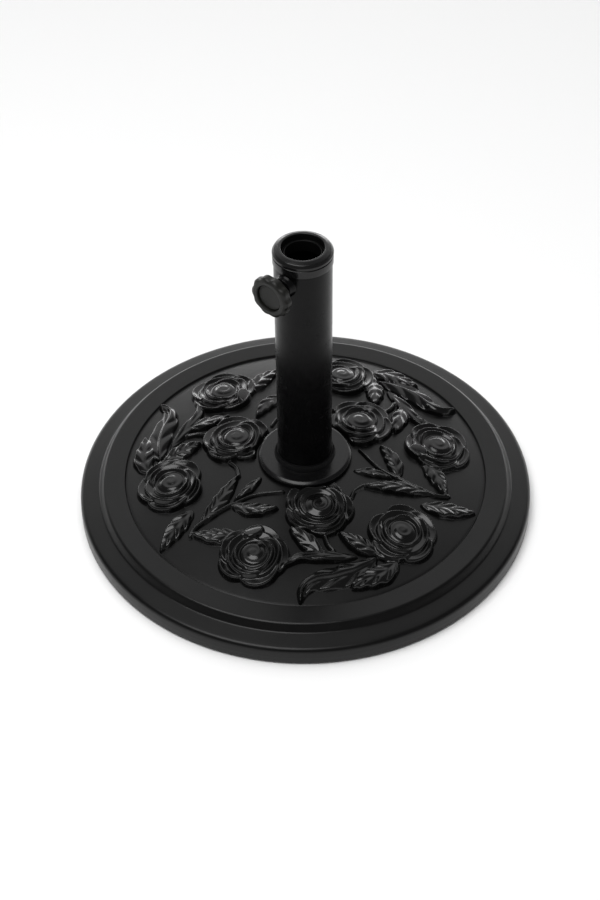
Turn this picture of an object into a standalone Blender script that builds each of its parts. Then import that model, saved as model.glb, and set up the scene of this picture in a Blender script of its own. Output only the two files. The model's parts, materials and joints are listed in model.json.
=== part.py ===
"""Parasol base: a weighted round foot with a steel tube that takes the parasol pole.

Metres, +Z up. The origin is on the floor under the middle of the base, and the clamp
knob points to the left of the front, which is -Y. Touching pieces keep a gap of GAP.
"""
import math

import bmesh
import bpy
from mathutils import Matrix, Vector

MM = 0.001
GAP = 0.3 * MM

# Base
BASE_RADIUS = 225 * MM
RIM_BOTTOM = 2 * MM
SKIN = 3 * MM
TIER_RADIUS = 202 * MM
TIER_TOP = 29 * MM
RECESS_RADIUS = 178.3 * MM
RECESS_EDGE_HEIGHT = 27.5 * MM
SEAT_RADIUS = 46 * MM
SEAT_HEIGHT = 48 * MM
DOME_POWER = 1.5
DOME_STEPS = 5
BASE_SEGMENTS = 48

# Underside
COVER_RADIUS = 220.8 * MM
COVER_BOTTOM = 6 * MM
COVER_THICKNESS = 2.5 * MM
COVER_ACCESS_RADIUS = 20 * MM
CORE_BOTTOM = COVER_BOTTOM + COVER_THICKNESS + GAP
CORE_RECESS_RADIUS = 22 * MM
CORE_RECESS_TOP = 22 * MM
SCREW_COUNT = 6
SCREW_CIRCLE = 192 * MM
SCREW_BOSS_RADIUS = 6.5 * MM
SCREW_BOSS_TOP = 27 * MM
SCREW_PILOT_RADIUS = 2.3 * MM
SCREW_PILOT_TOP = 24 * MM
SCREW_RADIUS = 2 * MM
SCREW_HEAD_RADIUS = 4.2 * MM
SCREW_HEAD_HEIGHT = 2 * MM
SCREW_TIP = 21 * MM
FOOT_COUNT = 6
FOOT_CIRCLE = 180 * MM
FOOT_RADIUS = 13 * MM

# Tube and what holds it
TUBE_RADIUS = 26.6 * MM
TUBE_WALL = 1.5 * MM
TUBE_INSIDE = TUBE_RADIUS - TUBE_WALL
TUBE_SEGMENTS = 40
FLANGE_RADIUS = 46.4 * MM
FLANGE_BOTTOM = SEAT_HEIGHT + GAP
FLANGE_TOP = 54.6 * MM
TUBE_BOTTOM = FLANGE_TOP + GAP
WELD_RADIUS = 30.2 * MM
WELD_HEIGHT = 5.5 * MM
PLATE_TOP = TUBE_BOTTOM + 6 * MM
PLUG_CLEARANCE = TUBE_INSIDE - GAP
BOLT_RADIUS = 5 * MM
BOLT_HOLE = 6 * MM
BOLT_TIP = PLATE_TOP - 0.5 * MM
WASHER_THICKNESS = 2 * MM
WASHER_RADIUS = 15 * MM
SPRING_THICKNESS = 2.2 * MM
SPRING_RADIUS = 9 * MM
SPRING_SPLIT_DEGREES = 15
BOLT_HEAD_HEIGHT = 6.4 * MM
BOLT_HEAD_RADIUS = 9.2 * MM

# Pole socket
CAP_TOP = 304.4 * MM
CAP_STEP = 289 * MM
CAP_PLUG_BOTTOM = 283.4 * MM
CAP_RADIUS = 27.6 * MM
CAP_BORE = 19.7 * MM
REDUCER_BORE = 16.2 * MM
REDUCER_TOP = 299.0 * MM
REDUCER_WEB = 296.0 * MM
REDUCER_BOTTOM = 287.5 * MM
SEAT_CUP_TOP = 76 * MM
SEAT_CUP_FLOOR = 2.8 * MM

# Clamp screw, on an axis that crosses the tube's axis
CLAMP_HEIGHT = 277.1 * MM
CLAMP_DIRECTION = Vector((-0.62, -0.785, 0)).normalized()
CLAMP_HOLE = 5 * MM
CLAMP_HOLE_START = 15 * MM
CLAMP_HOLE_END = 40 * MM
NUT_RADIUS = 10 * MM
NUT_FACE = 31.5 * MM
NUT_BLANK_START = 20 * MM
SADDLE_REACH = 20 * MM
THREAD_RADIUS = 4 * MM
THREAD_BORE = THREAD_RADIUS + GAP
KNOB_RADIUS = 20.3 * MM
KNOB_LOBES = 10
KNOB_LOBE_DEPTH = 1.1 * MM
KNOB_SEGMENTS = 40
HUB_BACK = 37 * MM
HUB_RADIUS = 9.5 * MM
HEAD_BACK = 40.2 * MM
KNOB_FACE = 50 * MM
POCKET_RADIUS = 7.9 * MM
POCKET_FLOOR = 40.2 * MM
CAP_DISC_RADIUS = 12.6 * MM
CAP_DISC_FLOOR = 45.2 * MM
CAP_DISC_FACE = 47.6 * MM
CLAMP_HEAD_RADIUS = 7.5 * MM
PAD_RADIUS = 5.5 * MM
PAD_INNER = 21.2 * MM
PAD_OUTER = 23.6 * MM
PIN_RADIUS = 2.8 * MM

# Flower relief, for one third of the base: millimetres, +Y is the third's own middle line
RELIEF_TURNS = (40, 160, 280)
ROSES = ((0, 76, 28), (-72, 113, 31), (71, 115, 31))
LEAVES = (
    ((-62, 145), (-13, 168), 22),
    ((-40, 138), (38, 172), 26),
    ((-46, 132), (-12, 104), 20),
    ((4, 136), (28, 98), 17),
    ((80, 88), (124, 74), 17),
    ((82, 50), (38, 66), 15),
    ((-114, 67), (-48, 54), 15),
    ((-105, 84), (-148, 94), 14),
)
ROSE_TIERS = ((1.0, 0.0), (0.94, 3.4), (0.66, 3.0), (0.60, 5.6), (0.30, 4.6), (0.22, 6.6))
ROSE_SEGMENTS = 10
RELIEF_ROOT = 1.4 * MM
LEAF_EDGE = 1.6 * MM
LEAF_RIDGE = 3.2 * MM


def clear_scene():
    for thing in list(bpy.data.objects):
        bpy.data.objects.remove(thing, do_unlink=True)


def make_material(name, colour, roughness, metallic=0.0):
    material = bpy.data.materials.new(name)
    material.use_nodes = True
    shader = material.node_tree.nodes["Principled BSDF"]
    shader.inputs["Base Color"].default_value = (*colour, 1)
    shader.inputs["Roughness"].default_value = roughness
    shader.inputs["Metallic"].default_value = metallic
    return material


def add_object(name, mesh, material=None, parent=None, smooth=True):
    thing = bpy.data.objects.new(name, mesh)
    bpy.context.scene.collection.objects.link(thing)
    if smooth:
        mesh.shade_smooth()
        mesh.set_sharp_from_angle(angle=math.radians(35))
    if material:
        mesh.materials.append(material)
    thing.parent = parent
    return thing


def finish_mesh(name, bm):
    """Weld doubled points, point every face outwards and return the mesh."""
    bmesh.ops.remove_doubles(bm, verts=bm.verts, dist=0.002 * MM)
    bmesh.ops.recalc_face_normals(bm, faces=bm.faces)
    mesh = bpy.data.meshes.new(name)
    bm.to_mesh(mesh)
    bm.free()
    return mesh


def turned_mesh(name, outline, segments, sweep=math.tau):
    """Spin a closed outline of (radius, height) points about the Z axis."""
    bm = bmesh.new()
    corners = [bm.verts.new((radius, 0, height)) for radius, height in outline]
    full_turn = sweep == math.tau
    if full_turn:
        profile = [bm.edges.new((a, b)) for a, b in zip(corners, corners[1:] + corners[:1])]
        geometry = corners + profile
    else:
        geometry = [bm.faces.new(corners)]
        geometry += list(geometry[0].verts) + list(geometry[0].edges)
    bmesh.ops.spin(bm, geom=geometry, cent=(0, 0, 0), axis=(0, 0, 1), angle=sweep,
                   steps=segments, use_merge=full_turn)
    return finish_mesh(name, bm)


def turned(name, outline, segments, material=None, parent=None):
    return add_object(name, turned_mesh(name, outline, segments), material, parent)


def prism(name, radius, bottom, top, sides, material=None, parent=None, smooth=True):
    """An upright bar with the given number of sides."""
    bm = bmesh.new()
    bmesh.ops.create_cone(bm, cap_ends=True, segments=sides, radius1=radius, radius2=radius,
                          depth=top - bottom,
                          matrix=Matrix.Translation((0, 0, (top + bottom) / 2)))
    return add_object(name, finish_mesh(name, bm), material, parent, smooth)


def as_tool(thing):
    thing.hide_render = True
    thing.display_type = "WIRE"
    return thing


def combine(target, tool, operation):
    modifier = target.modifiers.new(tool.name, "BOOLEAN")
    modifier.operation = operation
    modifier.solver = "EXACT"
    modifier.object = as_tool(tool)


def around(count, radius, first_degrees=0.0):
    """Points spaced evenly on a circle about the Z axis."""
    for index in range(count):
        angle = math.radians(first_degrees) + math.tau * index / count
        yield Vector((radius * math.cos(angle), radius * math.sin(angle), 0))


def dome_height(radius):
    """Height of the recess floor, which rises from its edge to the tube's seat."""
    along = (radius - SEAT_RADIUS) / (RECESS_RADIUS - SEAT_RADIUS)
    along = min(max(along, 0.0), 1.0)
    return RECESS_EDGE_HEIGHT + (SEAT_HEIGHT - RECESS_EDGE_HEIGHT) * (1 - along ** DOME_POWER)


def dome_points(drop, steps):
    """The recess floor's outline, from the seat to the edge, lowered by a wall's thickness."""
    for step in range(steps + 1):
        radius = SEAT_RADIUS + (RECESS_RADIUS - SEAT_RADIUS) * step / steps
        yield radius, dome_height(radius) - drop


def shell_outside():
    """The moulded skin's outer side, from the middle hole out and down to the rim."""
    edge = BASE_RADIUS
    return [
        (BOLT_HOLE, SEAT_HEIGHT),
        *dome_points(0, DOME_STEPS),
        (RECESS_RADIUS + 0.8 * MM, TIER_TOP - 0.4 * MM),
        (RECESS_RADIUS + 2.5 * MM, TIER_TOP),
        (TIER_RADIUS - 3.5 * MM, TIER_TOP),
        (TIER_RADIUS - 0.8 * MM, TIER_TOP - 1.0 * MM),
        (TIER_RADIUS + 0.4 * MM, TIER_TOP - 3.5 * MM),
        (TIER_RADIUS + 2.0 * MM, TIER_TOP - 7.0 * MM),
        (edge - 19.0 * MM, 21.4 * MM),
        (edge - 4.5 * MM, 18.5 * MM),
        (edge - 1.4 * MM, 17.0 * MM),
        (edge, 13.5 * MM),
        (edge, RIM_BOTTOM + 2 * MM),
        (edge - 1.2 * MM, RIM_BOTTOM),
    ]


def shell_inside(gap=0.0):
    """The skin's inner side from the rim back to the middle hole; gap lowers it for the fill."""
    wall = BASE_RADIUS - SKIN - 0.5 * MM - gap
    return [
        (wall, 13.0 * MM - gap),
        (wall - 3.0 * MM, 15.4 * MM - gap),
        (TIER_RADIUS + 0.8 * MM - gap, 18.6 * MM - gap),
        (TIER_RADIUS - 2.6 * MM - gap, TIER_TOP - 3.8 * MM - gap),
        (TIER_RADIUS - 6.0 * MM - gap, TIER_TOP - SKIN - gap),
        (RECESS_RADIUS + 1.5 * MM, TIER_TOP - SKIN - 0.4 * MM - gap),
        *reversed(list(dome_points(SKIN + gap, DOME_STEPS - 1))),
        (BOLT_HOLE, SEAT_HEIGHT - SKIN - gap),
    ]


def relief_frame(x, y, turn):
    """Stand a relief piece on the sloping recess floor, at a point of one third."""
    spot = Matrix.Rotation(math.radians(turn - 90), 4, "Z") @ Vector((x * MM, y * MM, 0))
    radius = spot.length
    step = 1 * MM
    slope = (dome_height(radius + step) - dome_height(radius - step)) / (2 * step)
    outward = spot.normalized()
    normal = (Vector((0, 0, 1)) - outward * slope).normalized()
    across = Vector((0, 0, 1)).cross(outward)
    along = across.cross(normal)
    frame = Matrix((-across, along, normal)).transposed().to_4x4()
    spot.z = dome_height(radius)
    return Matrix.Translation(spot) @ frame


def rose_mesh():
    """A rose as three stacked tapering tiers of petals, of unit radius."""
    outline = [(0, -RELIEF_ROOT), (1, -RELIEF_ROOT)]
    outline += [(share, height * MM) for share, height in ROSE_TIERS]
    outline += [(0, ROSE_TIERS[-1][1] * MM)]
    return turned_mesh("rose", outline, ROSE_SEGMENTS)


def leaf_mesh(base, tip, width):
    """A pointed leaf from base to tip with a raised middle rib, about its middle."""
    base, tip = Vector(base) * MM, Vector(tip) * MM
    half = (tip - base) / 2
    side = Vector((-half.y, half.x)).normalized() * width * MM / 2
    outline = [-half, -half * 0.35 + side, half * 0.45 + side * 0.8, half,
               half * 0.45 - side * 0.8, -half * 0.35 - side]
    bm = bmesh.new()
    low = [bm.verts.new((*point, -RELIEF_ROOT)) for point in outline]
    high = [bm.verts.new((*point, LEAF_EDGE)) for point in outline]
    ridge = [bm.verts.new((*(half * share), LEAF_RIDGE)) for share in (-0.45, 0.5)]
    bm.faces.new(low[::-1])
    count = len(outline)
    for index in range(count):
        after = (index + 1) % count
        bm.faces.new((low[index], low[after], high[after], high[index]))
    root, shoulder_a, cheek_a, point, cheek_b, shoulder_b = high
    bm.faces.new((root, shoulder_a, ridge[0]))
    bm.faces.new((shoulder_a, cheek_a, ridge[1], ridge[0]))
    bm.faces.new((cheek_a, point, ridge[1]))
    bm.faces.new((point, cheek_b, ridge[1]))
    bm.faces.new((cheek_b, shoulder_b, ridge[0], ridge[1]))
    bm.faces.new((shoulder_b, root, ridge[0]))
    return finish_mesh("leaf", bm)


def add_relief(shell):
    """Raise the roses and leaves on the recess floor, three times round."""
    relief = bpy.data.collections.new("relief")
    bpy.context.scene.collection.children.link(relief)
    for turn in RELIEF_TURNS:
        pieces = []
        for x, y, radius in ROSES:
            piece = add_object("rose_tool", rose_mesh())
            size = Matrix.Diagonal((radius * MM, radius * MM, 1, 1))
            piece.matrix_world = relief_frame(x, y, turn) @ size
            pieces.append(piece)
        for base, tip, width in LEAVES:
            piece = add_object("leaf_tool", leaf_mesh(base, tip, width))
            x, y = (Vector(base) + Vector(tip)) / 2
            spin = Matrix.Rotation(math.atan2(x, y), 4, "Z")
            piece.matrix_world = relief_frame(x, y, turn) @ spin
            pieces.append(piece)
        for piece in pieces:
            bpy.context.scene.collection.objects.unlink(piece)
            relief.objects.link(as_tool(piece))
    modifier = shell.modifiers.new("relief", "BOOLEAN")
    modifier.operation = "UNION"
    modifier.solver = "EXACT"
    modifier.operand_type = "COLLECTION"
    modifier.collection = relief


def build_base_shell(material):
    rim = [(BASE_RADIUS - SKIN - 0.5 * MM, RIM_BOTTOM)]
    outline = shell_outside() + rim + shell_inside()
    shell = turned("base_shell", outline, BASE_SEGMENTS, material)
    for index, spot in enumerate(around(SCREW_COUNT, SCREW_CIRCLE)):
        boss = prism(f"boss_tool_{index + 1}", SCREW_BOSS_RADIUS, CORE_BOTTOM, SCREW_BOSS_TOP, 12)
        pilot = prism(f"pilot_tool_{index + 1}", SCREW_PILOT_RADIUS, 0, SCREW_PILOT_TOP, 10)
        boss.location = spot
        pilot.location = spot
        combine(shell, boss, "UNION")
        combine(shell, pilot, "DIFFERENCE")
    add_relief(shell)


def build_concrete_core(material):
    outline = [(CORE_RECESS_RADIUS, CORE_BOTTOM), (CORE_RECESS_RADIUS, CORE_RECESS_TOP),
               (BOLT_HOLE, CORE_RECESS_TOP)]
    outline += reversed(shell_inside(GAP))
    outline.append((BASE_RADIUS - SKIN - 0.5 * MM - GAP, CORE_BOTTOM))
    core = turned("concrete_core", outline, BASE_SEGMENTS, material)
    for index, spot in enumerate(around(SCREW_COUNT, SCREW_CIRCLE)):
        clearance = prism(f"core_tool_{index + 1}", SCREW_BOSS_RADIUS + GAP, 0, SEAT_HEIGHT, 12)
        clearance.location = spot
        combine(core, clearance, "DIFFERENCE")


def build_bottom_cover(material):
    top = COVER_BOTTOM + COVER_THICKNESS
    outline = [(COVER_ACCESS_RADIUS, COVER_BOTTOM), (COVER_ACCESS_RADIUS, top),
               (COVER_RADIUS, top), (COVER_RADIUS, COVER_BOTTOM)]
    cover = turned("bottom_cover", outline, BASE_SEGMENTS, material)
    for index, spot in enumerate(around(SCREW_COUNT, SCREW_CIRCLE)):
        hole = prism(f"cover_tool_{index + 1}", SCREW_PILOT_RADIUS, 0, 2 * top, 10)
        hole.location = spot
        combine(cover, hole, "DIFFERENCE")


def build_cover_screws(material):
    head_top = COVER_BOTTOM - GAP
    head_bottom = head_top - SCREW_HEAD_HEIGHT
    outline = [(0, head_bottom), (SCREW_HEAD_RADIUS * 0.6, head_bottom),
               (SCREW_HEAD_RADIUS, head_bottom + 0.9 * MM), (SCREW_HEAD_RADIUS, head_top),
               (SCREW_RADIUS, head_top), (SCREW_RADIUS, SCREW_TIP - 2.5 * MM), (0, SCREW_TIP)]
    for index, spot in enumerate(around(SCREW_COUNT, SCREW_CIRCLE)):
        screw = turned(f"cover_screw_{index + 1}", outline, 10, material)
        screw.location = spot


def build_feet(material):
    top = COVER_BOTTOM - GAP
    outline = [(0, 0), (FOOT_RADIUS - 1.5 * MM, 0), (FOOT_RADIUS, 1.2 * MM),
               (FOOT_RADIUS, top), (0, top)]
    half_step = 180 / FOOT_COUNT
    for index, spot in enumerate(around(FOOT_COUNT, FOOT_CIRCLE, half_step)):
        foot = turned(f"rubber_foot_{index + 1}", outline, 16, material)
        foot.location = spot


def build_tube_foot(black_steel, bare_steel):
    """The flange, weld, tube and threaded plate, which are one weldment on the real base."""
    flange = [(BOLT_HOLE, FLANGE_BOTTOM), (BOLT_HOLE, FLANGE_TOP), (WELD_RADIUS, FLANGE_TOP),
              (FLANGE_RADIUS - 2.4 * MM, FLANGE_TOP - 0.8 * MM),
              (FLANGE_RADIUS - 0.6 * MM, FLANGE_TOP - 1.8 * MM),
              (FLANGE_RADIUS, FLANGE_TOP - 3.2 * MM),
              (FLANGE_RADIUS, FLANGE_BOTTOM + 0.8 * MM),
              (FLANGE_RADIUS - 0.8 * MM, FLANGE_BOTTOM)]
    turned("tube_flange", flange, TUBE_SEGMENTS, black_steel)
    inner = TUBE_RADIUS + GAP
    weld = [(inner, TUBE_BOTTOM), (inner, TUBE_BOTTOM + WELD_HEIGHT),
            (inner + 0.7 * MM, TUBE_BOTTOM + WELD_HEIGHT),
            (inner + 1.6 * MM, TUBE_BOTTOM + 0.4 * WELD_HEIGHT), (WELD_RADIUS, TUBE_BOTTOM)]
    turned("weld_fillet", weld, TUBE_SEGMENTS, black_steel)
    plate = [(BOLT_RADIUS + GAP, TUBE_BOTTOM), (BOLT_RADIUS + GAP, PLATE_TOP),
             (PLUG_CLEARANCE, PLATE_TOP), (PLUG_CLEARANCE, TUBE_BOTTOM)]
    turned("tube_end_plate", plate, 32, bare_steel)


def build_tube(material):
    top = CAP_STEP - GAP
    outline = [(TUBE_INSIDE, TUBE_BOTTOM), (TUBE_INSIDE, top), (TUBE_RADIUS, top),
               (TUBE_RADIUS, TUBE_BOTTOM)]
    tube = turned("stand_tube", outline, TUBE_SEGMENTS, material)
    hole = prism("clamp_hole_tool", CLAMP_HOLE, CLAMP_HOLE_START, CLAMP_HOLE_END, 16,
                 parent=clamp_axis())
    combine(tube, hole, "DIFFERENCE")


def build_pole_seat(material):
    bottom = PLATE_TOP + GAP
    outline = [(0, bottom), (0, bottom + SEAT_CUP_FLOOR), (CAP_BORE, bottom + SEAT_CUP_FLOOR),
               (CAP_BORE, SEAT_CUP_TOP - 2 * MM), (CAP_BORE + 2 * MM, SEAT_CUP_TOP),
               (PLUG_CLEARANCE, SEAT_CUP_TOP), (PLUG_CLEARANCE, bottom)]
    turned("pole_seat", outline, 32, material)


def build_base_bolt(material):
    """The hexagon bolt from below, with its flat washer and split spring washer."""
    washer_top = CORE_RECESS_TOP - GAP
    washer_bottom = washer_top - WASHER_THICKNESS
    hole = BOLT_RADIUS + GAP
    flat = [(hole, washer_bottom), (hole, washer_top), (WASHER_RADIUS, washer_top),
            (WASHER_RADIUS, washer_bottom)]
    turned("flat_washer", flat, 24, material)
    spring_top = washer_bottom - GAP
    spring_bottom = spring_top - SPRING_THICKNESS
    spring = [(hole, spring_bottom), (hole, spring_top), (SPRING_RADIUS, spring_top),
              (SPRING_RADIUS, spring_bottom)]
    sweep = math.radians(360 - SPRING_SPLIT_DEGREES)
    add_object("spring_washer", turned_mesh("spring_washer", spring, 22, sweep), material)
    head_top = spring_bottom - GAP
    bolt = prism("base_bolt", BOLT_HEAD_RADIUS, head_top - BOLT_HEAD_HEIGHT, head_top, 6,
                 material, smooth=False)
    shank = prism("bolt_tool", BOLT_RADIUS, head_top - 1 * MM, BOLT_TIP, 16)
    combine(bolt, shank, "UNION")


def build_top_cap(material):
    outline = [(CAP_BORE, CAP_PLUG_BOTTOM), (CAP_BORE, CAP_TOP - 0.6 * MM),
               (CAP_BORE + 0.7 * MM, CAP_TOP), (CAP_BORE + 3.6 * MM, CAP_TOP - 0.5 * MM),
               (CAP_RADIUS - 1.2 * MM, CAP_TOP - 2.2 * MM), (CAP_RADIUS, CAP_TOP - 4.2 * MM),
               (CAP_RADIUS, CAP_TOP - 6.2 * MM), (CAP_RADIUS - 0.9 * MM, CAP_TOP - 7.0 * MM),
               (CAP_RADIUS - 0.1 * MM, CAP_TOP - 8.0 * MM), (CAP_RADIUS - 0.1 * MM, CAP_STEP),
               (PLUG_CLEARANCE, CAP_STEP), (PLUG_CLEARANCE, CAP_PLUG_BOTTOM)]
    turned("top_cap", outline, TUBE_SEGMENTS, material)


def build_reducer_ring(material):
    outer = CAP_BORE - GAP
    top = REDUCER_TOP
    outline = [(REDUCER_BORE, REDUCER_BOTTOM), (REDUCER_BORE, top - 0.4 * MM),
               (REDUCER_BORE + 0.4 * MM, top), (REDUCER_BORE + 0.9 * MM, top),
               (REDUCER_BORE + 1.1 * MM, REDUCER_WEB), (outer - 0.9 * MM, REDUCER_WEB),
               (outer - 0.8 * MM, top - 1 * MM), (outer, top - 1 * MM),
               (outer, REDUCER_BOTTOM)]
    turned("reducer_ring", outline, 40, material)


def clamp_axis():
    """The empty on the clamp screw's axis, whose own +Z points out of the tube."""
    name = "clamp_axis"
    axis = bpy.data.objects.get(name)
    if axis is None:
        axis = bpy.data.objects.new(name, None)
        bpy.context.scene.collection.objects.link(axis)
        turn = CLAMP_DIRECTION.to_track_quat("Z", "Y").to_matrix().to_4x4()
        axis.matrix_world = Matrix.Translation((0, 0, CLAMP_HEIGHT)) @ turn
    return axis


def build_weld_nut(material):
    """The threaded boss, whose inner end is cut to sit on the tube's round wall."""
    outline = [(THREAD_BORE, NUT_BLANK_START), (THREAD_BORE, NUT_FACE),
               (NUT_RADIUS - 1 * MM, NUT_FACE), (NUT_RADIUS, NUT_FACE - 1 * MM),
               (NUT_RADIUS, NUT_BLANK_START)]
    nut = turned("weld_nut", outline, 24, material, clamp_axis())
    saddle = prism("saddle_tool", TUBE_RADIUS + GAP, CLAMP_HEIGHT - SADDLE_REACH,
                   CLAMP_HEIGHT + SADDLE_REACH, TUBE_SEGMENTS)
    combine(nut, saddle, "DIFFERENCE")


def knob_mesh():
    """The lobed head and its hub: a turned outline whose outer rings wave round the lobes."""
    bore = THREAD_BORE
    seat = CAP_DISC_RADIUS + GAP
    outline = [
        (bore, HUB_BACK, 0), (bore, POCKET_FLOOR, 0), (POCKET_RADIUS, POCKET_FLOOR, 0),
        (POCKET_RADIUS, CAP_DISC_FLOOR, 0), (seat, CAP_DISC_FLOOR, 0),
        (seat, KNOB_FACE - 0.9 * MM, 0), (seat + 0.9 * MM, KNOB_FACE, 0),
        (KNOB_RADIUS - 1.8 * MM, KNOB_FACE - 0.2 * MM, 0.8), (KNOB_RADIUS, KNOB_FACE - 2 * MM, 1),
        (KNOB_RADIUS, HEAD_BACK + 1.6 * MM, 1), (KNOB_RADIUS - 2.5 * MM, HEAD_BACK, 0.7),
        (HUB_RADIUS + 0.6 * MM, HEAD_BACK - 0.6 * MM, 0), (HUB_RADIUS, HUB_BACK, 0),
    ]
    bm = bmesh.new()
    rings = []
    for radius, height, wave in outline:
        ring = []
        for index in range(KNOB_SEGMENTS):
            angle = math.tau * index / KNOB_SEGMENTS
            dip = KNOB_LOBE_DEPTH * wave * (0.5 - 0.5 * math.cos(KNOB_LOBES * angle))
            reach = radius - dip
            ring.append(bm.verts.new((reach * math.cos(angle), reach * math.sin(angle), height)))
        rings.append(ring)
    for ring, after in zip(rings, rings[1:] + rings[:1]):
        for index in range(KNOB_SEGMENTS):
            beside = (index + 1) % KNOB_SEGMENTS
            bm.faces.new((ring[index], ring[beside], after[beside], after[index]))
    return finish_mesh("knob_body", bm)


def build_knob(plastic, plastic_insert, steel):
    axis = clamp_axis()
    add_object("knob_body", knob_mesh(), plastic, axis)
    disc = [(0, CAP_DISC_FLOOR + GAP), (CAP_DISC_RADIUS, CAP_DISC_FLOOR + GAP),
            (CAP_DISC_RADIUS, CAP_DISC_FACE - 0.5 * MM),
            (CAP_DISC_RADIUS - 0.6 * MM, CAP_DISC_FACE), (0, CAP_DISC_FACE)]
    turned("knob_cap", disc, 32, plastic_insert, axis)
    head_bottom = POCKET_FLOOR + GAP
    bolt = prism("clamp_bolt", CLAMP_HEAD_RADIUS, head_bottom, CAP_DISC_FLOOR, 6, steel, axis,
                 smooth=False)
    shank_end = PAD_OUTER + GAP
    shank = prism("clamp_shank_tool", THREAD_RADIUS, shank_end, head_bottom + 1 * MM, 16,
                  parent=axis)
    pin = prism("clamp_pin_tool", PIN_RADIUS, PAD_INNER + 1.2 * MM, shank_end + 1 * MM, 12,
                parent=axis)
    combine(bolt, shank, "UNION")
    combine(bolt, pin, "UNION")


def build_pressure_pad(material):
    socket = PIN_RADIUS + GAP
    floor = PAD_INNER + 1.2 * MM - GAP
    outline = [(0, PAD_INNER), (PAD_RADIUS - 0.5 * MM, PAD_INNER),
               (PAD_RADIUS, PAD_INNER + 0.5 * MM), (PAD_RADIUS, PAD_OUTER), (socket, PAD_OUTER),
               (socket, floor), (0, floor)]
    turned("pressure_pad", outline, 20, material, clamp_axis())


def main():
    clear_scene()
    black_shell = make_material("black_shell_plastic", (0.021, 0.021, 0.020), 0.42)
    concrete = make_material("concrete", (0.36, 0.35, 0.33), 0.95)
    cover_plastic = make_material("cover_plastic", (0.028, 0.028, 0.028), 0.6)
    zinc = make_material("zinc_steel", (0.55, 0.56, 0.57), 0.35, 1.0)
    rubber = make_material("foot_rubber", (0.018, 0.018, 0.018), 0.85)
    black_steel = make_material("powder_coated_steel", (0.014, 0.014, 0.014), 0.33)
    cap_plastic = make_material("cap_plastic", (0.016, 0.016, 0.016), 0.28)
    knob_plastic = make_material("knob_plastic", (0.030, 0.030, 0.027), 0.52)
    insert_plastic = make_material("knob_cap_plastic", (0.034, 0.034, 0.031), 0.58)
    pad_plastic = make_material("pad_plastic", (0.05, 0.05, 0.05), 0.6)

    build_base_shell(black_shell)
    build_concrete_core(concrete)
    build_bottom_cover(cover_plastic)
    build_cover_screws(zinc)
    build_feet(rubber)
    build_tube_foot(black_steel, zinc)
    build_tube(black_steel)
    build_pole_seat(cap_plastic)
    build_base_bolt(zinc)
    build_top_cap(cap_plastic)
    build_reducer_ring(cap_plastic)
    build_weld_nut(black_steel)
    build_knob(knob_plastic, insert_plastic, black_steel)
    build_pressure_pad(pad_plastic)


main()
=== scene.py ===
"""Parasol base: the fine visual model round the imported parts, on a pale floor in soft light.

Metres, +Z up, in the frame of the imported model; MM turns millimetres into metres. The
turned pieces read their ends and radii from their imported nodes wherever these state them.
"""

import json
import math
from collections import namedtuple

import bmesh
import bpy
import numpy as np
from mathutils import Matrix, Vector


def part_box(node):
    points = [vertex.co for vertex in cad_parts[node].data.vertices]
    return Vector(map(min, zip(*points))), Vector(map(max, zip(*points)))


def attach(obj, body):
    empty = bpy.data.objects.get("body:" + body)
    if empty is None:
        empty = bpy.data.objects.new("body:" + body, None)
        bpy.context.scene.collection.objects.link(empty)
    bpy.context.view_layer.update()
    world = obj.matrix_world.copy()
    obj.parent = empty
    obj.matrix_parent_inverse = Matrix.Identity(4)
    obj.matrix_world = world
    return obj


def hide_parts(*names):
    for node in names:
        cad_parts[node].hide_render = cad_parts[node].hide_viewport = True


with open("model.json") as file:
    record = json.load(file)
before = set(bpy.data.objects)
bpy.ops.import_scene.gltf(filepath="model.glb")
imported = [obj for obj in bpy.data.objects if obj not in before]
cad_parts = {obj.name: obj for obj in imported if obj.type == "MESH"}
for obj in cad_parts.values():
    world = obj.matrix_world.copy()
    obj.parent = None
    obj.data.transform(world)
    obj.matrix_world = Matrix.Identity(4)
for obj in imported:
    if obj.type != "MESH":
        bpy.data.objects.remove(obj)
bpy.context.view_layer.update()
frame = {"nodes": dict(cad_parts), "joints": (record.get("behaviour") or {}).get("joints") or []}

MM = 0.001
GAP = 0.3 * MM
FULL_TURN = 2 * math.pi

# Shell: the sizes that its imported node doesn't state
SKIN = 3 * MM
RIM_EXTRA = 0.5 * MM
TIER_RADIUS = 202 * MM
TIER_TOP = 29 * MM
RECESS_RADIUS = 178.3 * MM
RECESS_EDGE_HEIGHT = 27.5 * MM
SEAT_RADIUS = 46 * MM
SEAT_HEIGHT = 48 * MM
DOME_POWER = 1.5
BOLT_HOLE = 6 * MM
SHELL_SEGMENTS = 360
DOME_ROWS = 46

# Underside; COPY_TURN turns each copy further, HOLE_TURN keeps the hole tools' points off
# the cover's own edges, both in radians
SCREW_COUNT = 6
FOOT_COUNT = 6
COPY_TURN = 0.7
HOLE_TURN = 0.1
COVER_BEADS = (62 * MM, 106 * MM, 150 * MM, 208 * MM)
SCREW_HOLE = 2.3 * MM
SCREW_PITCH = 1.5 * MM
HEAD_HEIGHT = 6.4 * MM
BOLT_SHANK = 5 * MM
BOLT_PITCH = 1.5 * MM
BOLT_PLAIN = 12 * MM
THREAD_DEPTH = 0.55
ROWS_PER_PITCH = 8

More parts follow.
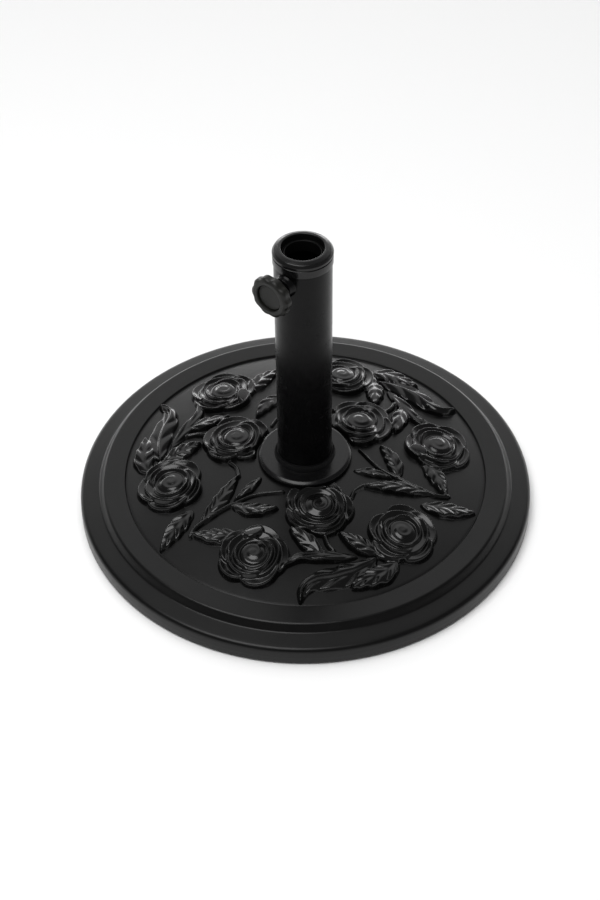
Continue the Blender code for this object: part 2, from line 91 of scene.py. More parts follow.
# Tube and clamp
WELD_RIPPLE = 0.25 * MM
WELD_RIPPLES = 84
TUBE_SEAM = math.pi / 2
CUP_BORE = 19.7 * MM
SEAM_HEIGHT = 0.35 * MM
SEAM_WIDTH = 1.2 * MM
CLAMP_HOLE = 5 * MM
CLAMP_HOLE_REACH = (10 * MM, 34 * MM)
NUT_HEIGHT = 8 * MM
HUB_RADIUS = 9.5 * MM
HUB_HEIGHT = 3.2 * MM
KNOB_LOBES = 10
LOBE_DEPTH = 1.3 * MM
LOBE_BAND = 4.5 * MM
ROD_CREST = 4 * MM
ROD_PITCH = 1.25 * MM
PAD_PIN = 2.8 * MM

# Studio: greys by the sine of the elevation, and where the backdrop fades in towards +Y
BACK_GREYS = ((0.0, 6.5), (0.12, 4.2), (0.22, 1.2), (0.36, 0.78), (0.62, 1.05), (0.75, 1.0),
              (0.9, 1.1))
FRONT_GREYS = ((0.0, 0.75), (0.08, 0.35), (0.2, 0.17), (0.9, 0.12))
BACKDROP_DEPTH = (0.1, 0.56)
BACKDROP_SIDES = (0.5, 0.84)
FLOOR_HALF = 40.0
KEY_PLACE = (-0.5, -0.5, 1.9)
KEY_TARGET = (0, 0, 0.05)
KEY_SIZE = (1.4, 1.0)
KEY_POWER = 20
FILL_STRENGTH = 1.4
FILL_SPREAD = 60

# Camera
LENS = 65.96
CAMERA_ELEVATION = 43.617
CAMERA_ROLL = -0.769
CAMERA_DISTANCE = 1.6283
CAMERA_TARGET = (-4.86 * MM, 0, 56.3 * MM)

# Relief: one third of the base, in millimetres, +Y outwards along the third's middle line,
# which stands THIRD_TURN degrees from +X on the base. It rises to its full height between
# the two radii of FLANGE_CLEAR, and of EDGE_CLEAR
THIRD_TURN = 40
THIRDS = 3
RELIEF_CELL = 0.5
RELIEF_ROOT = 1.2
RELIEF_SKIRT = 0.4
RELIEF_RISE = 0.05
SOFTEN_PASSES = 4
RELIEF_WIDTH = (-154, 128)
RELIEF_DEPTH = (24, 178)
FLANGE_CLEAR = (47.2, 50.5)
EDGE_CLEAR = (177.8, 175.8)

# Roses: a ring's centre, length and width are shares of the rose's radius; lip and inner are
# heights over the recess floor, and dip is the width of the slope between them
Rose = namedtuple("Rose", "x y radius turn")
PetalRing = namedtuple("PetalRing", "count centre length width lip inner dip turn")
ROSES = (
    Rose(0, 73, 34, 0.4),
    Rose(-73, 114, 33.5, 2.0),
    Rose(71, 115, 34, 4.1),
)
PETAL_RINGS = (
    PetalRing(5, 0.51, 0.51, 0.60, 6.2, 3.4, 9.0, 0.0),
    PetalRing(3, 0.26, 0.50, 0.66, 8.2, 4.6, 9.0, 0.6),
    PetalRing(2, 0.08, 0.49, 0.55, 10.0, 5.6, 7.0, 1.5),
)
PETAL_EDGE = 1.3
PETAL_LIP = 0.5
PETAL_LIP_WIDTH = 1.3
PETAL_TILT = 2.2
PETAL_DRIFT = 0.12
PETAL_SPREAD = 0.06
BOWL_FLOOR = 5.0
BOWL_START = 0.41
BOWL_END = 0.50
BOWL_RISE = 12
HEART_SHARE = 0.41
HEART_HEIGHT = 9.0
HEART_PITCH = 7.5
HEART_ROLL = 0.4

# Leaves and stems by the points of their middle lines; a leaf's left, right and ridge are
# heights, and its step is the drop from the ridge to the left half
Leaf = namedtuple("Leaf", "spine width left right ridge step veins")
Stem = namedtuple("Stem", "route half_width height")
LEAVES = (
    Leaf(((-62, 143), (-46, 155), (-28, 161), (-12, 168)), 23, 6.4, 3.4, 6.6, 0.4, 4),
    Leaf(((-43, 138), (-26, 147), (-3, 153), (18, 154), (31, 160), (38, 175)), 27, 3.6, 1.6,
         9.2, 5.0, 4),
    Leaf(((-46, 134), (-31, 122), (-12, 105)), 21, 7.4, 2.4, 6.2, 0.0, 4),
    Leaf(((7, 129), (18, 112), (33, 91)), 19, 4.4, 6.6, 6.4, 0.8, 3),
    Leaf(((-26, 134), (-5, 131), (14, 127), (32, 126), (52, 136)), 15, 7.2, 2.0, 5.6, 0.0, 3),
    Leaf(((76, 89), (100, 84), (125, 74)), 21, 6.0, 2.8, 6.0, 0.8, 4),
    Leaf(((82, 50), (62, 62), (37, 66)), 18, 3.2, 5.8, 5.6, 0.6, 4),
    Leaf(((-115, 67), (-84, 58), (-46, 52)), 18, 5.8, 2.6, 5.6, 0.6, 5),
    Leaf(((-98, 80), (-124, 88), (-152, 93)), 21, 2.8, 5.4, 5.6, 0.5, 4),
    Leaf(((-42, 30), (-60, 36), (-80, 46)), 12, 3.8, 2.8, 4.4, 0.0, 3),
)
LEAF_EDGE = 1.4
LEAF_NOTCH = 0.07
LEAF_QUILT = 2.0
LEAF_RIB = 0.5
LEAF_RIB_WIDTH = 0.9
LEAF_STEP_WIDTH = 1.2
LEAF_FOOT = 0.6
STEMS = (
    Stem(((-4, 124), (0, 116), (1, 106)), 2.8, 4.2),
    Stem(((-45, 136), (-52, 140), (-62, 143)), 3.0, 4.4),
    Stem(((118, 66), (98, 56), (82, 50)), 3.0, 4.2),
    Stem(((118, 66), (122, 70), (126, 76)), 2.8, 4.0),
    Stem(((-48, 52), (-38, 58), (-33, 66)), 2.6, 3.8),
    Stem(((30, 46), (58, 44), (82, 50)), 2.2, 3.4),
)

# A free petal: its crown is the drop from its middle to its edge
Bud = namedtuple("Bud", "x y length width turn height slope crown")
BUD = Bud(67, 91, 11.5, 7.5, 0.25, 8.6, 0.36, 1.6)


# --- meshes ---

def smooth_step(value):
    value = np.clip(value, 0.0, 1.0)
    return value * value * (3 - 2 * value)


def linked(thing):
    """The same object, put in the scene."""
    bpy.context.scene.collection.objects.link(thing)
    return thing


def add_mesh(name, points, faces):
    """An object from points and from rows of point numbers, one row for each face."""
    mesh = bpy.data.meshes.new(name)
    faces = np.asarray(faces)
    corners = faces.shape[1]
    mesh.vertices.add(len(points))
    mesh.vertices.foreach_set("co", np.asarray(points, np.float32).ravel())
    mesh.loops.add(faces.size)
    mesh.loops.foreach_set("vertex_index", faces.astype(np.int32).ravel())
    mesh.polygons.add(len(faces))
    mesh.polygons.foreach_set("loop_start", np.arange(0, faces.size, corners, dtype=np.int32))
    mesh.update(calc_edges=True)
    mesh.validate()
    return linked(bpy.data.objects.new(name, mesh))


def grid_faces(rows, columns):
    """Quads of a grid whose rows and columns close on themselves."""
    row, column = np.meshgrid(np.arange(rows), np.arange(columns), indexing="ij")
    after = (row + 1) % rows
    beside = (column + 1) % columns
    quads = np.stack((row * columns + column, row * columns + beside,
                      after * columns + beside, after * columns + column), axis=-1)
    return quads.reshape(-1, 4)


def shade(thing, angle=32):
    thing.data.shade_smooth()
    thing.data.set_sharp_from_angle(angle=math.radians(angle))


def tidy_mesh(thing):
    """Weld the points that meet on the axis and point the faces outwards."""
    bm = bmesh.new()
    bm.from_mesh(thing.data)
    bmesh.ops.remove_doubles(bm, verts=bm.verts, dist=0.001 * MM)
    loose = [edge for edge in bm.edges if not edge.link_faces]
    bmesh.ops.delete(bm, geom=loose, context="EDGES")
    bmesh.ops.recalc_face_normals(bm, faces=bm.faces)
    bm.to_mesh(thing.data)
    bm.free()


def rounded(corners, steps=5):
    """The outline of (radius, height, fillet) corners; the fillets alone are in millimetres."""
    outline = []
    count = len(corners)
    for index, (radius, height, fillet) in enumerate(corners):
        here = Vector((radius, height))
        if fillet <= 0:
            outline.append(here)
            continue
        back = Vector(corners[index - 1][:2]) - here
        ahead = Vector(corners[(index + 1) % count][:2]) - here
        half = back.angle(ahead) / 2
        reach = min(fillet * MM / math.tan(half), 0.48 * back.length, 0.48 * ahead.length)
        back.normalize()
        ahead.normalize()
        centre = here + (back + ahead).normalized() * (reach / math.cos(half))
        start = here + back * reach - centre
        sweep = math.pi - 2 * half
        turn = -1 if back.x * ahead.y - back.y * ahead.x > 0 else 1
        for step in range(steps + 1):
            angle = turn * sweep * step / steps
            cos, sin = math.cos(angle), math.sin(angle)
            outline.append(centre + Vector((start.x * cos - start.y * sin,
                                            start.x * sin + start.y * cos)))
    return outline


def turned(name, corners, segments=160, placement=None, steps=5, wave=None, angle=32):
    """Turn a closed outline about Z. wave(radius, height, angle) may move the radius."""
    outline = rounded(corners, steps)
    angles = np.arange(segments) * FULL_TURN / segments
    radius = np.array([p.x for p in outline])[:, None] + 0 * angles
    height = np.array([p.y for p in outline])[:, None] + 0 * angles
    if wave:
        radius, height = wave(radius, height, angles[None, :] + 0 * radius)
    points = np.stack((radius * np.cos(angles), radius * np.sin(angles), height), axis=-1)
    thing = add_mesh(name, points.reshape(-1, 3), grid_faces(len(outline), segments))
    tidy_mesh(thing)
    if placement:
        thing.data.transform(placement)
    shade(thing, angle)
    return thing


def cut(thing, *tools):
    """Cut closed tools out of a piece for good, and remove them."""
    for tool in tools:
        modifier = thing.modifiers.new("cut", "BOOLEAN")
        modifier.operation = "DIFFERENCE"
        modifier.solver = "EXACT"
        modifier.object = tool
    bpy.context.view_layer.update()
    graph = bpy.context.evaluated_depsgraph_get()
    mesh = bpy.data.meshes.new_from_object(thing.evaluated_get(graph))
    thing.modifiers.clear()
    thing.data = mesh
    for tool in tools:
        bpy.data.objects.remove(tool)


def hexagon(corner, low, high):
    """A wave for turned(): the rows between two heights turn into a hexagon."""
    flat = corner * math.cos(math.pi / 6)

    def wave(radius, height, angle):
        side = flat / np.cos(angle % (FULL_TURN / 6) - math.pi / 6)
        inside = (height > low - 0.01 * MM) & (height < high + 0.01 * MM)
        return np.where(inside, np.minimum(radius, side), radius), height
    return wave


def thread(crest, pitch, low, high):
    """A wave for turned(): a helical thread in the rows at the crest between two heights."""
    depth = THREAD_DEPTH * pitch

    def wave(radius, height, angle):
        phase = (height / pitch + angle / FULL_TURN) % 1
        fade = smooth_step((height - low) / pitch) * smooth_step((high - height) / pitch)
        groove = depth * np.clip(2.4 * np.abs(phase - 0.5) - 0.2, 0, 1) * fade
        outer = np.abs(radius - crest) < 0.01 * MM
        return np.where(outer, radius - groove, radius), height
    return wave


def thread_rows(crest, pitch, low, high):
    """Corners in small steps along a crest, for thread() to move."""
    count = int((high - low) / pitch * ROWS_PER_PITCH)
    return [(crest, low + (high - low) * step / count, 0) for step in range(count + 1)]


def both_waves(first, second):
    """Two waves for turned(), one after the other."""
    return lambda radius, height, angle: second(*first(radius, height, angle), angle)


Size = namedtuple("Size", "near far radius bore")


def node_size(node, placement=None):
    """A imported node's ends along Z and its radii, in a placement's own axes."""
    mesh = frame["nodes"][node].data
    points = np.zeros(len(mesh.vertices) * 3)
    mesh.vertices.foreach_get("co", points)
    points = points.reshape(-1, 3)
    if placement:
        back = np.array(placement.inverted())
        points = points @ back[:3, :3].T + back[:3, 3]
    radius = np.hypot(points[:, 0], points[:, 1])
    return Size(points[:, 2].min(), points[:, 2].max(), radius.max(), radius.min())


def finish_piece(thing, material, body, slot, *nodes):
    """Give a piece its material and its body, and hide the nodes that it stands in for; slot is not
    used.
    """
    thing.data.materials.clear()
    thing.data.materials.append(material)
    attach(thing, body)
    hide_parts(*nodes)


# --- relief ---

def curve_through(route, steps=48):
    """Evenly stepped points on a smooth curve through a short list of points."""
    route = np.array(route, float)
    padded = np.vstack((2 * route[0] - route[1], route, 2 * route[-1] - route[-2]))
    spans = len(route) - 1
    place = np.linspace(0, spans, steps)
    index = np.minimum(place.astype(int), spans - 1)
    t = (place - index)[:, None]
    a, b, c, d = (padded[index + k] for k in range(4))
    return 0.5 * (2 * b + (c - a) * t + (2 * a - 5 * b + 4 * c - d) * t ** 2
                  + (3 * b - a - 3 * c + d) * t ** 3)


def nearest_on(curve, x, y):
    """For each point: how far along the curve, the signed side offset and the distance."""
    dx = x[:, None] - curve[:, 0]
    dy = y[:, None] - curve[:, 1]
    index = np.argmin(dx * dx + dy * dy, axis=1)
    tangent = np.gradient(curve, axis=0)
    length = np.hypot(tangent[:, 0], tangent[:, 1])
    tangent = tangent / length[:, None]
    row = np.arange(len(x))
    near_x, near_y = dx[row, index], dy[row, index]
    ahead = near_x * tangent[index, 0] + near_y * tangent[index, 1]
    side = near_x * tangent[index, 1] - near_y * tangent[index, 0]
    run = np.concatenate(([0], np.cumsum(np.hypot(*np.diff(curve, axis=0).T))))
    along = (run[index] + ahead) / run[-1]
    return along, side, np.hypot(near_x, near_y)


def walled(inside, edge, surface):
    """A surface that ends in a steep wall where the distance inside its outline is 0."""
    return (surface + RELIEF_ROOT) * smooth_step(inside / edge) - RELIEF_ROOT


def in_axes(x, y, turn):
    """The same offsets in axes turned by an angle."""
    cos, sin = math.cos(turn), math.sin(turn)
    return x * cos + y * sin, y * cos - x * sin


def petal_height(dx, dy, ring, rose, level, which):
    """Height of one oval petal: a steep wall, a rolled lip, and a dip behind the lip."""
    turn = rose.turn + ring.turn + FULL_TURN * which / ring.count
    turn += PETAL_DRIFT * math.sin(2.4 * which + level)
    out, across = in_axes(dx, dy, turn)
    out = out - ring.centre * rose.radius
    length = ring.length * rose.radius
    width = ring.width * rose.radius
    width *= 1 + PETAL_SPREAD * math.sin(1.9 * which + 2.3 * level)
    share = np.maximum(np.hypot(out / length, across / width), 1e-3)
    growth = np.hypot(out / length ** 2, across / width ** 2) / share
    inside = (1 - share) / np.maximum(growth, 1e-3)
    raised = (1 - smooth_step(inside / ring.dip)) * smooth_step(0.5 + 0.8 * out / length)
    surface = ring.inner + (ring.lip - ring.inner) * raised
    surface += PETAL_TILT * raised * across / width
    surface += PETAL_LIP * raised * np.exp(-((inside - PETAL_EDGE) / PETAL_LIP_WIDTH) ** 2)
    return walled(inside, PETAL_EDGE, surface)


def rose_height(x, y, rose):
    """Rings of overlapping petals, a hollow bowl in the middle and a rolled heart in it."""
    dx, dy = x - rose.x, y - rose.y
    reach = np.hypot(dx, dy)
    height = np.full_like(x, -RELIEF_ROOT)
    for level, ring in enumerate(PETAL_RINGS):
        for which in range(ring.count):
            height = np.maximum(height, petal_height(dx, dy, ring, rose, level, which))
    share = reach / rose.radius
    rim = smooth_step((share - BOWL_START) / (BOWL_END - BOWL_START))
    height = np.minimum(height, BOWL_FLOOR + BOWL_RISE * rim)
    heart = share / HEART_SHARE
    dome = BOWL_FLOOR + (HEART_HEIGHT - BOWL_FLOOR) * np.sqrt(np.clip(1 - heart ** 2, 0, 1))
    spiral = np.cos(FULL_TURN * reach / HEART_PITCH - np.arctan2(dy, dx) + rose.turn)
    dome = dome + HEART_ROLL * spiral * smooth_step(heart * 2)
    return np.maximum(height, np.where(heart < 1, dome, height))


def leaf_height(x, y, leaf):
    """A pointed leaf with a step along its rib, quilted between its side veins."""
    along, side, distance = nearest_on(curve_through(leaf.spine), x, y)
    t = np.clip(along, 0, 1)
    lobes = leaf.veins * t
    outline = leaf.width / 2 * np.sin(math.pi * t ** 0.8) ** 0.75
    outline = outline * (1 - LEAF_NOTCH * (0.5 + 0.5 * np.cos(FULL_TURN * lobes)))
    inside = outline - np.where((along < 0) | (along > 1), distance + 1, np.abs(side))
    across = np.clip(np.abs(side) / np.maximum(outline, 1), 0, 1)
    edge_height = np.where(side < 0, leaf.left, leaf.right)
    ridge = leaf.ridge - leaf.step * smooth_step(-side / LEAF_STEP_WIDTH)
    surface = ridge + (edge_height - ridge) * across ** 1.3
    surface = surface * (LEAF_FOOT + (1 - LEAF_FOOT) * smooth_step(2 * t))
    quilt = np.abs(np.sin(math.pi * (lobes - 0.9 * across)))
    surface = surface + LEAF_QUILT * (quilt - 0.5) * smooth_step(across * 2.5)
    surface = surface - LEAF_RIB * np.exp(-(side / LEAF_RIB_WIDTH) ** 2)
    return walled(inside, LEAF_EDGE, surface)


def stem_height(x, y, stem):
    """A stem with a round top."""
    _, _, distance = nearest_on(curve_through(stem.route), x, y)
    round_top = np.sqrt(np.clip(1 - (distance / stem.half_width) ** 2, 0, 1))
    return (stem.height + RELIEF_ROOT) * round_top - RELIEF_ROOT


def bud_height(x, y, bud):
    """A petal that stands free of its rose and slopes down towards the tube."""
    dx, dy = x - bud.x, y - bud.y
    along, across = in_axes(dx, dy, bud.turn)
    reach = np.hypot(along / bud.length, across / bud.width)
    surface = bud.height + bud.slope * dy - bud.crown * reach ** 2
    return walled((1 - reach) * bud.width, PETAL_EDGE, surface)


def relief_height(x, y):
    """Height over the recess floor in millimetres, and RELIEF_ROOT below it elsewhere."""
    height = np.full_like(x, -RELIEF_ROOT)
    jobs = [(rose_height, rose, (rose.x, rose.y), rose.radius + 3) for rose in ROSES]
    lines = [(leaf_height, leaf, leaf.spine, leaf.width / 2 + 3) for leaf in LEAVES]
    lines += [(stem_height, stem, stem.route, stem.half_width + 2) for stem in STEMS]
    for rule, thing, route, margin in lines:
        middle = np.mean(route, axis=0)
        span = np.abs(np.array(route) - middle).max() * 1.5 + margin
        jobs.append((rule, thing, middle, span))
    jobs.append((bud_height, BUD, (BUD.x, BUD.y), BUD.length))
    for rule, thing, middle, span in jobs:
        near = np.hypot(x - middle[0], y - middle[1]) < span
        height[near] = np.maximum(height[near], rule(x[near], y[near], thing))
    radius = np.hypot(x, y)
    for start, full in (FLANGE_CLEAR, EDGE_CLEAR):
        fade = smooth_step((radius - start) / (full - start))
        height = (height + RELIEF_ROOT) * fade - RELIEF_ROOT
    return height


def dome_height(radius):
    """The recess floor, which rises from its edge to the seat of the tube."""
    along = np.clip((radius - SEAT_RADIUS) / (RECESS_RADIUS - SEAT_RADIUS), 0, 1)
    return RECESS_EDGE_HEIGHT + (SEAT_HEIGHT - RECESS_EDGE_HEIGHT) * (1 - along ** DOME_POWER)


def shell_border(edge, bottom):
    """The skin's outer side from the recess edge out and down to the rim."""
    corners = [
        (RECESS_RADIUS + 0.4 * MM, RECESS_EDGE_HEIGHT - 0.1 * MM, 0.4),
        (RECESS_RADIUS + 1.6 * MM, TIER_TOP, 0.8),
        (TIER_RADIUS - 1.4 * MM, TIER_TOP, 4.0),
        (TIER_RADIUS + 3.6 * MM, 21.7 * MM, 3.0),
        (edge - 0.6 * MM, 18.4 * MM, 5.0),
        (edge, 9.0 * MM, 3.0),
        (edge, bottom, 1.0),
        (edge - SKIN - RIM_EXTRA, bottom, 0),
    ]
    outline = rounded([(0, 0, 0)] + corners, 7)[1:]
    dense = []
    for here, after in zip(outline, outline[1:]):
        parts = max(1, math.ceil((after - here).length / (3.5 * MM)))
        dense += [here.lerp(after, part / parts) for part in range(parts)]
    return dense + [outline[-1]]


def shell_inside(edge):
    """The skin's inner side, from the rim up and in to the bolt hole."""
    wall = edge - SKIN - RIM_EXTRA
    back = [(wall, 13.0 * MM), (wall - 3.0 * MM, 15.4 * MM), (TIER_RADIUS + 0.8 * MM, 18.6 * MM),
            (TIER_RADIUS - 2.6 * MM, TIER_TOP - 3.8 * MM),
            (TIER_RADIUS - 6.0 * MM, TIER_TOP - SKIN),
            (RECESS_RADIUS + 1.5 * MM, TIER_TOP - SKIN - 0.4 * MM)]
    radii = np.linspace(RECESS_RADIUS, SEAT_RADIUS, 9)
    back += [(radius, dome_height(radius) - SKIN) for radius in radii]
    back.append((BOLT_HOLE, SEAT_HEIGHT - SKIN))
    return back


def shell_moulding():
    """The moulded skin: the border, the recess floor that rises to the middle, the inside."""
    low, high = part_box("base_shell")
    floor = np.linspace(SEAT_RADIUS, RECESS_RADIUS, DOME_ROWS)
    corners = [(BOLT_HOLE, SEAT_HEIGHT, 0), (SEAT_RADIUS * 0.9, SEAT_HEIGHT, 0)]
    corners += [(radius, dome_height(radius), 0) for radius in floor]
    corners += [(point.x, point.y, 0) for point in shell_border(high.x, low.z)]
    corners += [(radius, height, 0) for radius, height in shell_inside(high.x)]
    return turned("shell_moulding", corners, SHELL_SEGMENTS, angle=40)


def softened(field, passes):
    """A moulding's rounded edges: each pass averages every point with its neighbours."""
    for _ in range(passes):
        wide = np.pad(field, 1, mode="edge")
        field = (wide[:-2, 1:-1] + 2 * wide[1:-1, 1:-1] + wide[2:, 1:-1]) / 4
        wide = np.pad(field, 1, mode="edge")
        field = (wide[1:-1, :-2] + 2 * wide[1:-1, 1:-1] + wide[1:-1, 2:]) / 4
    return field


def relief_patch():
    """One third's roses, leaves and stems as a closed solid rooted in the shell's skin."""
    x, y = np.meshgrid(np.arange(*RELIEF_WIDTH, RELIEF_CELL),
                       np.arange(*RELIEF_DEPTH, RELIEF_CELL))
    columns = x.shape[1]
    lift = softened(relief_height(x.ravel(), y.ravel()).reshape(x.shape), SOFTEN_PASSES)
    height = dome_height(np.hypot(x, y) * MM) + lift * MM
    points = np.stack((x * MM, y * MM, height), axis=-1).reshape(-1, 3)
    up = lift > RELIEF_RISE - RELIEF_ROOT
    cell = up[:-1, :-1] | up[1:, :-1] | up[:-1, 1:] | up[1:, 1:]
    # Cells that only touch at a corner get a neighbour, so that no two rims share a point
    for _ in range(3):
        a, b, c, d = cell[:-1, :-1], cell[:-1, 1:], cell[1:, :-1], cell[1:, 1:]
        falling, rising = a & d & ~b & ~c, b & c & ~a & ~d
        b |= falling
        a |= rising
    row, column = np.nonzero(cell)
    first = row * columns + column
    quads = np.stack((first, first + 1, first + columns + 1, first + columns), axis=-1)
    used, quads = np.unique(quads, return_inverse=True)
    patch = add_mesh("relief", points[used], quads.reshape(-1, 4))
    bm = bmesh.new()
    bm.from_mesh(patch.data)
    # A short skirt, then a floor over its lower edge
    rim = [edge for edge in bm.edges if edge.is_boundary]
    skirt = bmesh.ops.extrude_edge_only(bm, edges=rim)["geom"]
    foot = [part for part in skirt if isinstance(part, bmesh.types.BMVert)]
    bmesh.ops.translate(bm, verts=foot, vec=(0, 0, -RELIEF_SKIRT * MM))
    rim = [edge for edge in bm.edges if edge.is_boundary]
    bmesh.ops.triangle_fill(bm, use_beauty=True, edges=rim)
    bmesh.ops.recalc_face_normals(bm, faces=bm.faces)
    bm.to_mesh(patch.data)
    bm.free()
    shade(patch, 75)
    return patch


def relief_thirds(material):
    """The same relief on each third of the recess floor."""
    patch = relief_patch()
    for third in range(THIRDS):
        mesh = patch.data.copy()
        turn = math.radians(THIRD_TURN - 90) + FULL_TURN * third / THIRDS
        mesh.transform(Matrix.Rotation(turn, 4, "Z"))
        piece = linked(bpy.data.objects.new(f"relief_{third + 1}", mesh))
        finish_piece(piece, material, "stand", "shell_plastic", "base_shell")
    bpy.data.objects.remove(patch)


# --- underside ---

def over_node(node, turn):
    """A placement on the floor at the middle of a node, with a turn about Z."""
    low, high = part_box(node)
    middle = (low + high) / 2
    return Matrix.Translation((middle.x, middle.y, 0)) @ Matrix.Rotation(turn, 4, "Z")


def repeated(pattern, material, slot, prefix, count):
    """Put copies of a piece made at the origin in place of the numbered nodes."""
    for number in range(1, count + 1):
        node = f"{prefix}_{number}"
        mesh = pattern.data.copy()
        mesh.transform(over_node(node, COPY_TURN * number))
        piece = linked(bpy.data.objects.new(f"{node}_piece", mesh))
        finish_piece(piece, material, "stand", slot, node)
    bpy.data.objects.remove(pattern)


def cover_plate():
    """The bottom cover with its pressed beads, its access hole and its screw holes."""
    size = node_size("bottom_cover")
    under, over = [], []
    for middle in COVER_BEADS:
        for offset, drop in ((-4, 0), (-1.8, 1.2), (1.8, 1.2), (4, 0)):
            radius = middle + offset * MM
            under.append((radius, size.near - drop * MM, 1.2))
            over.append((radius, size.far - drop * MM, 1.2))
    corners = [(size.bore, size.near, 0.6)] + under + [(size.radius, size.near, 0.8)]
    corners += [(size.radius, size.far, 0.6)] + over[::-1]
    corners += [(size.bore, size.far, 0.6)]
    cover = turned("cover_plate", corners, 240, steps=3)
    tools = []
    for number in range(1, SCREW_COUNT + 1):
        screw = f"cover_screw_{number}"
        low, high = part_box(screw)
        hole = [(0, low.z, 0), (SCREW_HOLE, low.z, 0), (SCREW_HOLE, high.z, 0), (0, high.z, 0)]
        tools.append(turned("hole_tool", hole, 24, over_node(screw, HOLE_TURN)))
    cut(cover, *tools)
    return cover


def cover_screw():
    """A pan-head screw with a cross recess, made at the origin."""
    low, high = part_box("cover_screw_1")
    head = low.z + 2.0 * MM
    edge = (high.x - low.x) / 2
    shank = SCREW_HOLE - GAP
    tip = high.z - 2.5 * MM
    corners = [(0, low.z, 0), (edge * 0.7, low.z, 0.8), (edge, low.z + 1.0 * MM, 0.5),
               (edge, head, 0.2), (shank, head, 0)]
    corners += thread_rows(shank, SCREW_PITCH, head + 0.1 * MM, tip)
    corners += [(0.3 * MM, high.z - 0.2 * MM, 0), (0, high.z, 0)]
    screw = turned("screw", corners, 32, wave=thread(shank, SCREW_PITCH, head, tip))
    arm, half, depth = 2.4 * MM, 0.45 * MM, 1.2 * MM
    tools = []
    for reach_x, reach_y in ((arm, half), (half, arm)):
        points = [(sx * reach_x * share, sy * reach_y * share, low.z + rise)
                  for share, rise in ((1.0, -1 * MM), (0.8, depth))
                  for sx, sy in ((-1, -1), (1, -1), (1, 1), (-1, 1))]
        sides = ((3, 2, 1, 0), (4, 5, 6, 7), (0, 1, 5, 4), (1, 2, 6, 5), (2, 3, 7, 6), (3, 0, 4, 7))
        tools.append(add_mesh("recess_tool", points, sides))
    cut(screw, *tools)
    return screw


def rubber_foot():
    """A foot with a hollow in the middle, two ring grooves below and one round its side."""
    low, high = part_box("rubber_foot_1")
    edge = (high.x - low.x) / 2
    corners = [(0, 1.6 * MM, 0), (3.4 * MM, 1.6 * MM, 0.5), (4.2 * MM, low.z, 0.5)]
    for groove in (7.0 * MM, 9.6 * MM):
        corners += [(groove - 0.6 * MM, low.z, 0.2), (groove - 0.3 * MM, 0.7 * MM, 0.2),
                    (groove + 0.3 * MM, 0.7 * MM, 0.2), (groove + 0.6 * MM, low.z, 0.2)]
    corners += [(edge - 0.8 * MM, low.z, 0.9), (edge, 2.2 * MM, 0.8),
                (edge, 3.2 * MM, 0.3), (edge - 0.7 * MM, 3.6 * MM, 0.2),
                (edge - 0.7 * MM, 4.0 * MM, 0.2), (edge, 4.4 * MM, 0.3),
                (edge, high.z, 0.3), (0, high.z, 0)]
    return turned("foot", corners, 72, steps=3)


def hexagon_bolt():
    """The middle bolt: a hexagon head below, a plain shank and a thread above it."""
    size = node_size("base_bolt")
    head = size.near + HEAD_HEIGHT
    low, high = head + 0.1 * MM, size.far - 1.0 * MM
    corners = [(0, size.near + 0.3 * MM, 0), (5.6 * MM, size.near + 0.3 * MM, 0.2),
               (5.9 * MM, size.near, 0.2), (size.radius - 1.1 * MM, size.near, 0.1),
               (size.radius, size.near + 0.7 * MM, 0), (size.radius, head - 0.4 * MM, 0),
               (size.radius - 1.3 * MM, head, 0), (BOLT_SHANK, head, 0)]
    corners += thread_rows(BOLT_SHANK, BOLT_PITCH, low, high)
    corners += [(BOLT_SHANK - 1.0 * MM, size.far, 0), (0, size.far, 0)]
    wave = both_waves(hexagon(size.radius, size.near, head),
                      thread(BOLT_SHANK, BOLT_PITCH, low + BOLT_PLAIN, high))
    return turned("hexagon_bolt", corners, 96, wave=wave, angle=24)


def flat_washer_piece():
    size = node_size("flat_washer")
    corners = [(size.bore, size.near, 0.2), (size.radius, size.near, 0.5),
               (size.radius, size.far, 0.2), (size.bore, size.far, 0.3)]
    return turned("flat_washer_piece", corners, 128)


def spring_washer_piece():
    """The split washer: a square section swept almost once round, with its edges eased."""
    size = node_size("spring_washer")
    mesh = frame["nodes"]["spring_washer"].data
    bearings = np.array([math.atan2(v.co.y, v.co.x) % FULL_TURN for v in mesh.vertices])
    angles = np.linspace(bearings.min(), bearings.max(), 120)
    profile = ((size.bore, size.near), (size.radius, size.near),
               (size.radius, size.far), (size.bore, size.far))
    points = [(radius * math.cos(angle), radius * math.sin(angle), height)
              for angle in angles for radius, height in profile]
    faces = [(4 * row + side, 4 * row + (side + 1) % 4, 4 * row + 4 + (side + 1) % 4,
              4 * row + 4 + side) for row in range(len(angles) - 1) for side in range(4)]
    last = 4 * (len(angles) - 1)
    faces += [(3, 2, 1, 0), (last, last + 1, last + 2, last + 3)]
    washer = add_mesh("spring_washer_piece", points, faces)
    tidy_mesh(washer)
    bevel = washer.modifiers.new("edges", "BEVEL")
    bevel.width = 0.25 * MM
    bevel.segments = 2
    bevel.angle_limit = math.radians(50)
    shade(washer)
    return washer


# --- tube ---

def flange_disc():
    size = node_size("tube_flange")
    corners = [(size.bore, size.near, 0.3), (size.bore, size.far, 0.3),
               (size.radius - 3.4 * MM, size.far, 3.0),
               (size.radius - 0.2 * MM, size.far - 2.2 * MM, 2.2),
               (size.radius, size.near + 0.6 * MM, 0.6),
               (size.radius - 0.8 * MM, size.near, 0)]
    return turned("flange_disc", corners, 192, steps=6)


